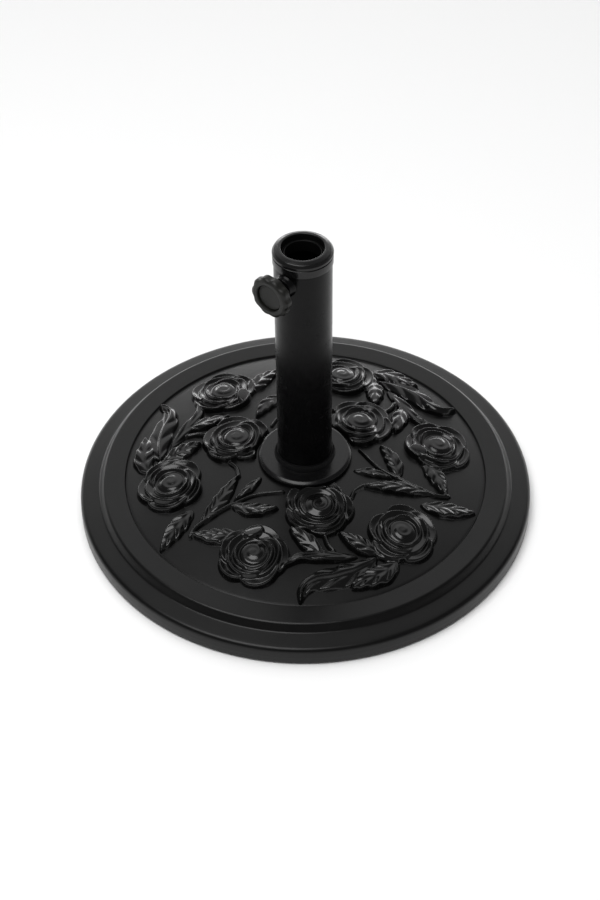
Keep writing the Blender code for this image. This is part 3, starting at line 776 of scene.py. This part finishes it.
def weld_bead():
    """The weld ring at the tube's foot, with the low ripples of its passes."""
    size = node_size("weld_fillet")

    def ripple(radius, height, angle):
        share = (radius - size.bore) / (size.radius - size.bore)
        lift = np.clip(share * (1 - share) * 4, 0, 1) * WELD_RIPPLE
        return radius + lift * np.sin(WELD_RIPPLES * angle + 3 * np.sin(2 * angle)), height

    corners = [(size.bore, size.near, 0), (size.bore, size.far, 0),
               (size.bore + 0.5 * MM, size.far, 0.3)]
    for share in (0.8, 0.6, 0.4, 0.2):
        reach = (1 - share) ** 1.5 * (size.radius - size.bore - 0.5 * MM)
        rise = share * (size.far - size.near)
        corners.append((size.bore + 0.5 * MM + reach, size.near + rise, 0.6))
    corners.append((size.radius, size.near, 0))
    return turned("weld_bead", corners, 720, wave=ripple, angle=60)


def tube_wall():
    """The tube with its welded seam inside and the hole for the clamp bolt."""
    size = node_size("stand_tube")

    def seam(radius, height, angle):
        offset = (angle - TUBE_SEAM) * size.bore
        bead = SEAM_HEIGHT * np.exp(-(offset / SEAM_WIDTH) ** 2)
        return np.where(radius < size.bore + 0.1 * MM, radius - bead, radius), height

    centre = clamp.translation.z
    levels = [centre + offset * MM for offset in (-60, -30, -16, -10, 10)]
    corners = [(size.radius, size.near, 0.2)]
    corners += [(size.radius, level, 0) for level in levels]
    corners += [(size.radius, size.far, 0.4), (size.bore, size.far, 0.3)]
    corners += [(size.bore, level, 0) for level in reversed(levels)]
    corners += [(size.bore, size.near, 0.2)]
    tube = turned("tube_wall", corners, 240, wave=seam)
    near, far = CLAMP_HOLE_REACH
    hole = [(0, near, 0), (CLAMP_HOLE, near, 0), (CLAMP_HOLE, far, 0), (0, far, 0)]
    cut(tube, turned("clamp_hole_tool", hole, 48, clamp))
    return tube


def seat_cup():
    """The cup that a pole stands in, with two ring grooves in its floor."""
    size = node_size("pole_seat")
    floor = size.near + 2.8 * MM
    corners = [(0, size.near, 0), (size.radius, size.near, 0.8),
               (size.radius, size.far, 0.5), (CUP_BORE + 2 * MM, size.far, 0.6),
               (CUP_BORE, size.far - 2 * MM, 1.0), (CUP_BORE, floor, 1.2)]
    for ring in (13 * MM, 7 * MM):
        corners += [(ring + 1.2 * MM, floor, 0.3), (ring + 0.8 * MM, floor + 0.5 * MM, 0.2),
                    (ring - 0.8 * MM, floor + 0.5 * MM, 0.2), (ring - 1.2 * MM, floor, 0.3)]
    corners.append((0, floor, 0))
    return turned("seat_cup", corners, 144, steps=4)


def collar():
    """The cap in the tube's top: a rounded crest, a fine groove, a band and a plug."""
    size = node_size("top_cap")
    plug = node_size("pole_seat").radius
    step = node_size("stand_tube").far + GAP
    top = size.far
    corners = [
        (size.bore, size.near, 0.5), (size.bore, top - 0.1 * MM, 0.8),
        (size.bore + 2.4 * MM, top, 1.6), (size.radius - 1.6 * MM, top - 1.6 * MM, 2.0),
        (size.radius, top - 4.2 * MM, 1.6), (size.radius, top - 6.3 * MM, 0.3),
        (size.radius - 0.9 * MM, top - 6.8 * MM, 0.25),
        (size.radius - 0.9 * MM, top - 7.3 * MM, 0.25),
        (size.radius - 0.1 * MM, top - 7.8 * MM, 0.3),
        (size.radius - 0.1 * MM, step, 0.4), (plug, step, 0.1),
        (plug, size.near + 1.0 * MM, 0.3), (plug - 0.6 * MM, size.near, 0.2),
    ]
    return turned("collar", corners, 192, steps=6)


def reducer_sleeve():
    """The ring inside the collar: two thin walls joined by a web."""
    size = node_size("reducer_ring")
    web = size.far - 3.0 * MM
    corners = [
        (size.bore, size.near, 0.4), (size.bore, size.far, 0.45),
        (size.bore + 1.0 * MM, size.far, 0.35), (size.bore + 1.15 * MM, web, 0.4),
        (size.radius - 0.95 * MM, web, 0.4),
        (size.radius - 0.85 * MM, size.far - 1.0 * MM, 0.3),
        (size.radius, size.far - 1.0 * MM, 0.3), (size.radius, size.near, 0.3),
    ]
    return turned("reducer_sleeve", corners, 160, steps=4)


# --- clamp ---

def clamp_placement():
    """The clamp screw's own axes: from the middle of the tube, +Z out through the knob."""
    joint = next(entry for entry in frame["joints"] if entry["name"] == "clamp_turn")
    outward = -Vector(joint["axis"])
    turn = outward.to_track_quat("Z", "Y").to_matrix().to_4x4()
    return Matrix.Translation(joint["pos_m"]) @ turn


def nut_boss():
    """The threaded boss, whose foot follows the tube's wall and ends in a weld."""
    size = node_size("weld_nut", clamp)
    wall = node_size("stand_tube").radius + GAP
    foot = size.far - NUT_HEIGHT

    def saddle(radius, height, angle):
        side = np.minimum(np.abs(radius * np.cos(angle)), wall)
        drop = (wall - np.sqrt(wall ** 2 - side ** 2)) * (height < foot + 2.6 * MM)
        seat = np.where(height < foot + 0.1 * MM, wall, height)
        return radius, seat - drop

    corners = [(size.bore, foot, 0), (size.bore, size.far - 0.6 * MM, 0),
               (size.bore + 0.6 * MM, size.far, 0), (size.radius - 0.2 * MM, size.far, 0.9),
               (size.radius, wall + 1.6 * MM, 0), (size.radius + 0.4 * MM, wall + 0.9 * MM, 0),
               (size.radius + 1.2 * MM, foot, 0)]
    return turned("nut_boss", corners, 96, clamp, steps=6, wave=saddle)


def knob_head():
    """The knob: ten rounded lobes, a raised rim round the inset disc, a hub behind."""
    size = node_size("knob_body", clamp)
    disc = node_size("knob_cap", clamp)
    bolt = node_size("clamp_bolt", clamp)
    face, back = size.far, size.near + HUB_HEIGHT
    seat = disc.radius + GAP
    pocket = bolt.radius + 0.4 * MM
    edge = size.radius

    def lobes(radius, height, angle):
        share = np.clip((radius - edge + LOBE_BAND) / LOBE_BAND, 0, 1)
        outside = (height > back - 0.1 * MM) * share
        dip = (0.5 - 0.5 * np.cos(KNOB_LOBES * angle)) ** 1.3
        return radius - LOBE_DEPTH * dip * outside, height

    corners = [
        (size.bore, size.near, 0.2), (size.bore, back, 0),
        (pocket, back, 0), (pocket, disc.near - GAP, 0.2),
        (seat, disc.near - GAP, 0), (seat, face - 0.5 * MM, 0.4),
        (seat + 0.9 * MM, face, 0.6), (edge - 3.6 * MM, face, 1.2),
        (edge - 1.2 * MM, face - 0.9 * MM, 1.2), (edge, face - 2.6 * MM, 1.2),
        (edge, back + 2.0 * MM, 1.4), (edge - 2.2 * MM, back, 1.2),
        (HUB_RADIUS + 1.0 * MM, back - 0.3 * MM, 0.5),
        (HUB_RADIUS, size.near, 0.8),
    ]
    return turned("knob_head", corners, 240, clamp, steps=6, wave=lobes, angle=40)


def knob_disc():
    size = node_size("knob_cap", clamp)
    corners = [(0, size.near, 0), (size.radius, size.near, 0.3),
               (size.radius, size.far - 0.2 * MM, 0.5),
               (size.radius - 1.4 * MM, size.far, 0.3),
               (size.radius - 2.2 * MM, size.far - 0.35 * MM, 0.4),
               (0, size.far - 0.25 * MM, 0)]
    return turned("knob_disc", corners, 128, clamp, steps=4)


def clamp_rod():
    """The clamp bolt: a hexagon head held in the knob, a long thread and a plain pin."""
    size = node_size("clamp_bolt", clamp)
    pad = node_size("pressure_pad", clamp)
    head = node_size("knob_body", clamp).near + HUB_HEIGHT + GAP
    shoulder = pad.far + GAP
    threaded = (shoulder + 0.5 * MM, head - 0.4 * MM)
    corners = [(0, size.near, 0), (PAD_PIN, size.near, 0.3), (PAD_PIN, shoulder, 0),
               (ROD_CREST - 0.6 * MM, shoulder, 0)]
    corners += thread_rows(ROD_CREST, ROD_PITCH, *threaded)
    corners += [(ROD_CREST, head, 0), (size.radius, head, 0),
                (size.radius, size.far - 0.7 * MM, 0), (size.radius - 1.1 * MM, size.far, 0),
                (0, size.far, 0)]
    wave = both_waves(hexagon(size.radius, head, size.far),
                      thread(ROD_CREST, ROD_PITCH, *threaded))
    return turned("clamp_rod", corners, 72, clamp, wave=wave, angle=24)


def pad_disc():
    """The pressure pad, with a socket for the rod's pin."""
    size = node_size("pressure_pad", clamp)
    socket = PAD_PIN + GAP
    floor = node_size("clamp_bolt", clamp).near - GAP
    corners = [(0, size.near, 0), (size.radius - 0.3 * MM, size.near, 0.6),
               (size.radius, size.far, 0.3), (socket, size.far, 0.2),
               (socket, floor, 0.1), (0, floor, 0)]
    return turned("pad_disc", corners, 96, clamp, steps=4)


# --- materials ---

def new_material(name):
    material = bpy.data.materials.new(name)
    material.use_nodes = True
    tree = material.node_tree
    return material, tree, tree.nodes["Principled BSDF"]


def add_node(tree, kind, *values):
    """A shader node whose first inputs take the given outputs."""
    node = tree.nodes.new("ShaderNode" + kind)
    for value, socket in zip(values, node.inputs):
        tree.links.new(value, socket)
    return node


def noise(tree, scale, detail, roughness=0.5):
    node = add_node(tree, "TexNoise", add_node(tree, "TexCoord").outputs["Object"])
    node.inputs["Scale"].default_value = scale
    node.inputs["Detail"].default_value = detail
    node.inputs["Roughness"].default_value = roughness
    return node.outputs["Fac"]


def spread(tree, value, low, high, from_low=0.3, from_high=0.7):
    node = add_node(tree, "MapRange", value)
    node.inputs["From Min"].default_value = from_low
    node.inputs["From Max"].default_value = from_high
    node.inputs["To Min"].default_value = low
    node.inputs["To Max"].default_value = high
    return node.outputs["Result"]


def colour_ramp(tree, value, stops):
    """Colours at (position, colour) stops along a value."""
    node = add_node(tree, "ValToRGB", value)
    elements = node.color_ramp.elements
    while len(elements) < len(stops):
        elements.new(0.5)
    for element, (position, colour) in zip(elements, stops):
        element.position = position
        element.color = (*colour, 1)
    return node.outputs["Color"]


def tint(tree, value, dark, light):
    return colour_ramp(tree, value, ((0.3, dark), (0.7, light)))


def bump(tree, shader, value, distance, strength, under=None):
    node = tree.nodes.new("ShaderNodeBump")
    node.inputs["Distance"].default_value = distance
    node.inputs["Strength"].default_value = strength
    tree.links.new(value, node.inputs["Height"])
    if under:
        tree.links.new(under, node.inputs["Normal"])
    tree.links.new(node.outputs["Normal"], shader.inputs["Normal"])
    return node.outputs["Normal"]


def clouded(name, colour_noise, dark, light, gloss_noise, roughness):
    """A material whose colour and gloss each drift between two values."""
    material, tree, shader = new_material(name)
    colour = tint(tree, noise(tree, *colour_noise), dark, light)
    tree.links.new(colour, shader.inputs["Base Color"])
    gloss = spread(tree, noise(tree, *gloss_noise), *roughness)
    tree.links.new(gloss, shader.inputs["Roughness"])
    return material, tree, shader


def moulded_plastic(name, dark, light, roughness, grain, ior):
    """Black plastic with cloudy gloss, a slight colour drift and a fine moulded grain."""
    material, tree, shader = clouded(name, (22, 4), dark, light, (70, 5, 0.6), roughness)
    shader.inputs["IOR"].default_value = ior
    soft = bump(tree, shader, noise(tree, 90, 2), 0.12 * MM, 0.35)
    bump(tree, shader, noise(tree, 1900, 2), grain, 0.5, soft)
    return material


def powder_coat(name, dark, light, roughness, ior):
    """Stoved powder paint: near black, smooth, with a low orange peel."""
    material, tree, shader = clouded(name, (35, 3), dark, light, (120, 4), roughness)
    shader.inputs["IOR"].default_value = ior
    peel = bump(tree, shader, noise(tree, 420, 2), 0.03 * MM, 0.4)
    bump(tree, shader, noise(tree, 2600, 1), 0.01 * MM, 0.4, peel)
    return material


def zinc_plate():
    dark, light = (0.42, 0.42, 0.40), (0.66, 0.67, 0.68)
    material, tree, shader = clouded("zinc_plated_steel", (160, 5), dark, light,
                                     (400, 4), (0.24, 0.46))
    shader.inputs["Metallic"].default_value = 1.0
    bump(tree, shader, noise(tree, 1500, 3), 0.02 * MM, 0.5)
    return material


def foot_rubber():
    dark, light = (0.012, 0.012, 0.012), (0.026, 0.026, 0.025)
    material, tree, shader = clouded("foot_rubber", (180, 4), dark, light, (500, 3), (0.68, 0.9))
    bump(tree, shader, noise(tree, 1600, 3), 0.05 * MM, 0.7)
    return material


def cast_concrete():
    material, tree, shader = new_material("cast_concrete")
    colour = tint(tree, noise(tree, 60, 8, 0.7), (0.24, 0.23, 0.21), (0.46, 0.45, 0.42))
    tree.links.new(colour, shader.inputs["Base Color"])
    shader.inputs["Roughness"].default_value = 0.92
    sand = bump(tree, shader, noise(tree, 900, 5, 0.7), 0.3 * MM, 0.8)
    bump(tree, shader, noise(tree, 150, 3), 0.8 * MM, 0.5, sand)
    return material


# --- lights and camera ---

def add_lights():
    """A soft key from the front left, and an overhead fill that leaves no mirror image."""
    key = bpy.data.lights.new("key_softbox", "AREA")
    key.shape = "RECTANGLE"
    key.size, key.size_y = KEY_SIZE
    key.energy = KEY_POWER
    lamp = linked(bpy.data.objects.new("key_softbox", key))
    lamp.location = KEY_PLACE
    aim = Vector(KEY_TARGET) - Vector(KEY_PLACE)
    lamp.rotation_mode = "QUATERNION"
    lamp.rotation_quaternion = aim.to_track_quat("-Z", "Y")
    fill = bpy.data.lights.new("floor_fill", "SUN")
    fill.energy = FILL_STRENGTH
    fill.angle = math.radians(FILL_SPREAD)
    lamp = linked(bpy.data.objects.new("floor_fill", fill))
    lamp.location = (0, 0, 3)
    lamp.visible_glossy = False


def add_world():
    """Studio surroundings: a backdrop on +Y, bright low down, and dim sides and front."""
    world = bpy.data.worlds.new("studio")
    bpy.context.scene.world = world
    world.use_nodes = True
    tree = world.node_tree
    place = add_node(tree, "TexCoord").outputs["Generated"]
    parts = add_node(tree, "SeparateXYZ", place)
    level = add_node(tree, "VectorMath", place)
    level.operation = "MULTIPLY"
    level.inputs[1].default_value = (1, 1, 0)
    heading = add_node(tree, "VectorMath", level.outputs["Vector"])
    heading.operation = "NORMALIZE"
    compass = add_node(tree, "SeparateXYZ", heading.outputs["Vector"])
    share = add_node(tree, "Math", spread(tree, parts.outputs["Y"], 0, 1, *BACKDROP_DEPTH),
                     spread(tree, compass.outputs["Y"], 0, 1, *BACKDROP_SIDES))
    share.operation = "MULTIPLY"
    mix = add_node(tree, "Mix", share.outputs["Value"])
    mix.data_type = "RGBA"
    for number, greys in ((6, FRONT_GREYS), (7, BACK_GREYS)):
        stops = [(position, (grey,) * 3) for position, grey in greys]
        ramp = colour_ramp(tree, parts.outputs["Z"], stops)
        tree.links.new(ramp, mix.inputs[number])
    tree.links.new(mix.outputs[2], tree.nodes["Background"].inputs["Color"])


def add_floor():
    half = FLOOR_HALF
    points = ((-half, -half, 0), (half, -half, 0), (half, half, 0), (-half, half, 0))
    floor = add_mesh("studio_floor", points, ((0, 1, 2, 3),))
    material, tree, shader = new_material("pale_floor")
    shader.inputs["Base Color"].default_value = (0.9, 0.9, 0.9, 1)
    shader.inputs["Roughness"].default_value = 0.9
    shader.inputs["Specular IOR Level"].default_value = 0.1
    floor.data.materials.append(material)


def add_camera():
    """A view from the front and above, rolled very slightly."""
    data = bpy.data.cameras.new("camera")
    camera = linked(bpy.data.objects.new("camera", data))
    data.sensor_width = 36
    data.lens = LENS
    data.clip_end = 20
    elevation = math.radians(CAMERA_ELEVATION)
    roll = math.radians(CAMERA_ROLL)
    back = Vector((0, -math.cos(elevation), math.sin(elevation)))
    right = Vector((1, 0, 0))
    up = back.cross(right)
    across = math.cos(roll) * right + math.sin(roll) * up
    upward = math.cos(roll) * up - math.sin(roll) * right
    turn = Matrix((across, upward, back)).transposed()
    place = Vector(CAMERA_TARGET) + back * CAMERA_DISTANCE
    camera.matrix_world = Matrix.Translation(place) @ turn.to_4x4()
    bpy.context.scene.camera = camera


clamp = clamp_placement()

shell_dark, shell_light = (0.0018, 0.0018, 0.0019), (0.003, 0.003, 0.0029)
black_shell = moulded_plastic("black_shell_plastic", shell_dark, shell_light,
                              (0.28, 0.34), 0.03 * MM, 1.34)
relief_plastic = moulded_plastic("relief_plastic", shell_dark, shell_light,
                                 (0.16, 0.2), 0.03 * MM, 1.46)
tube_coat = powder_coat("tube_powder_coat", (0.0022, 0.0022, 0.0024),
                        (0.0032, 0.0032, 0.0034), (0.2, 0.28), 1.23)
flange_coat = powder_coat("flange_powder_coat", (0.0026, 0.0026, 0.0028),
                          (0.0038, 0.0038, 0.004), (0.2, 0.28), 1.4)
black_oxide = powder_coat("black_oxide_steel", (0.004, 0.004, 0.0044),
                          (0.0075, 0.0075, 0.0078), (0.26, 0.38), 1.6)
cap_plastic = moulded_plastic("cap_plastic", (0.004, 0.004, 0.0042),
                              (0.0065, 0.0065, 0.0065), (0.2, 0.27), 0.01 * MM, 1.38)
# The reducer: the cap's plastic with a darker colour, as painted shade for the ring that sits down
# in the collar's opening
reducer_plastic_painted_shade = moulded_plastic("reducer_plastic_painted_shade", (0.002, 0.002, 0.0021),
                                  (0.0035, 0.0035, 0.0035), (0.38, 0.46), 0.01 * MM, 1.28)
knob_plastic = moulded_plastic("knob_plastic", (0.005, 0.005, 0.0042),
                               (0.008, 0.008, 0.0068), (0.4, 0.5), 0.03 * MM, 1.36)
knob_inset = moulded_plastic("knob_cap_plastic", (0.0066, 0.0066, 0.0056),
                             (0.0094, 0.0094, 0.008), (0.46, 0.56), 0.02 * MM, 1.36)
cover_plastic = moulded_plastic("cover_plastic", (0.016, 0.016, 0.016),
                                (0.026, 0.026, 0.0255), (0.5, 0.62), 0.05 * MM, 1.46)
pad_plastic = moulded_plastic("pad_plastic", (0.035, 0.035, 0.034),
                              (0.052, 0.052, 0.0505), (0.52, 0.64), 0.03 * MM, 1.46)
zinc = zinc_plate()
rubber = foot_rubber()
concrete = cast_concrete()

finish_piece(shell_moulding(), black_shell, "stand", "shell_plastic", "base_shell")
relief_thirds(relief_plastic)
finish_piece(cover_plate(), cover_plastic, "stand", "cover_plastic", "bottom_cover")
repeated(cover_screw(), zinc, "zinc_steel", "cover_screw", SCREW_COUNT)
repeated(rubber_foot(), rubber, "foot_rubber", "rubber_foot", FOOT_COUNT)
for make, material, body, slot, node in (
        (hexagon_bolt, zinc, "stand", "zinc_steel", "base_bolt"),
        (flat_washer_piece, zinc, "stand", "zinc_steel", "flat_washer"),
        (spring_washer_piece, zinc, "stand", "zinc_steel", "spring_washer"),
        (flange_disc, flange_coat, "stand", "black_steel", "tube_flange"),
        (weld_bead, tube_coat, "stand", "black_steel", "weld_fillet"),
        (tube_wall, tube_coat, "stand", "black_steel", "stand_tube"),
        (seat_cup, cap_plastic, "stand", "cap_plastic", "pole_seat"),
        (collar, cap_plastic, "stand", "cap_plastic", "top_cap"),
        (reducer_sleeve, reducer_plastic_painted_shade, "stand", "cap_plastic", "reducer_ring"),
        (nut_boss, tube_coat, "stand", "black_steel", "weld_nut"),
        (knob_head, knob_plastic, "clamp_knob", "knob_plastic", "knob_body"),
        (knob_disc, knob_inset, "clamp_knob", "knob_cap_plastic", "knob_cap"),
        (clamp_rod, black_oxide, "clamp_knob", "black_steel", "clamp_bolt"),
        (pad_disc, pad_plastic, "clamp_pad", "pad_plastic", "pressure_pad")):
    finish_piece(make(), material, body, slot, node)
for node, material in (("concrete_core", concrete), ("tube_end_plate", zinc)):
    for place in frame["nodes"][node].material_slots:
        place.material = material

add_world()
add_floor()
add_camera()
add_lights()
bpy.context.scene.view_settings.view_transform = "Standard"
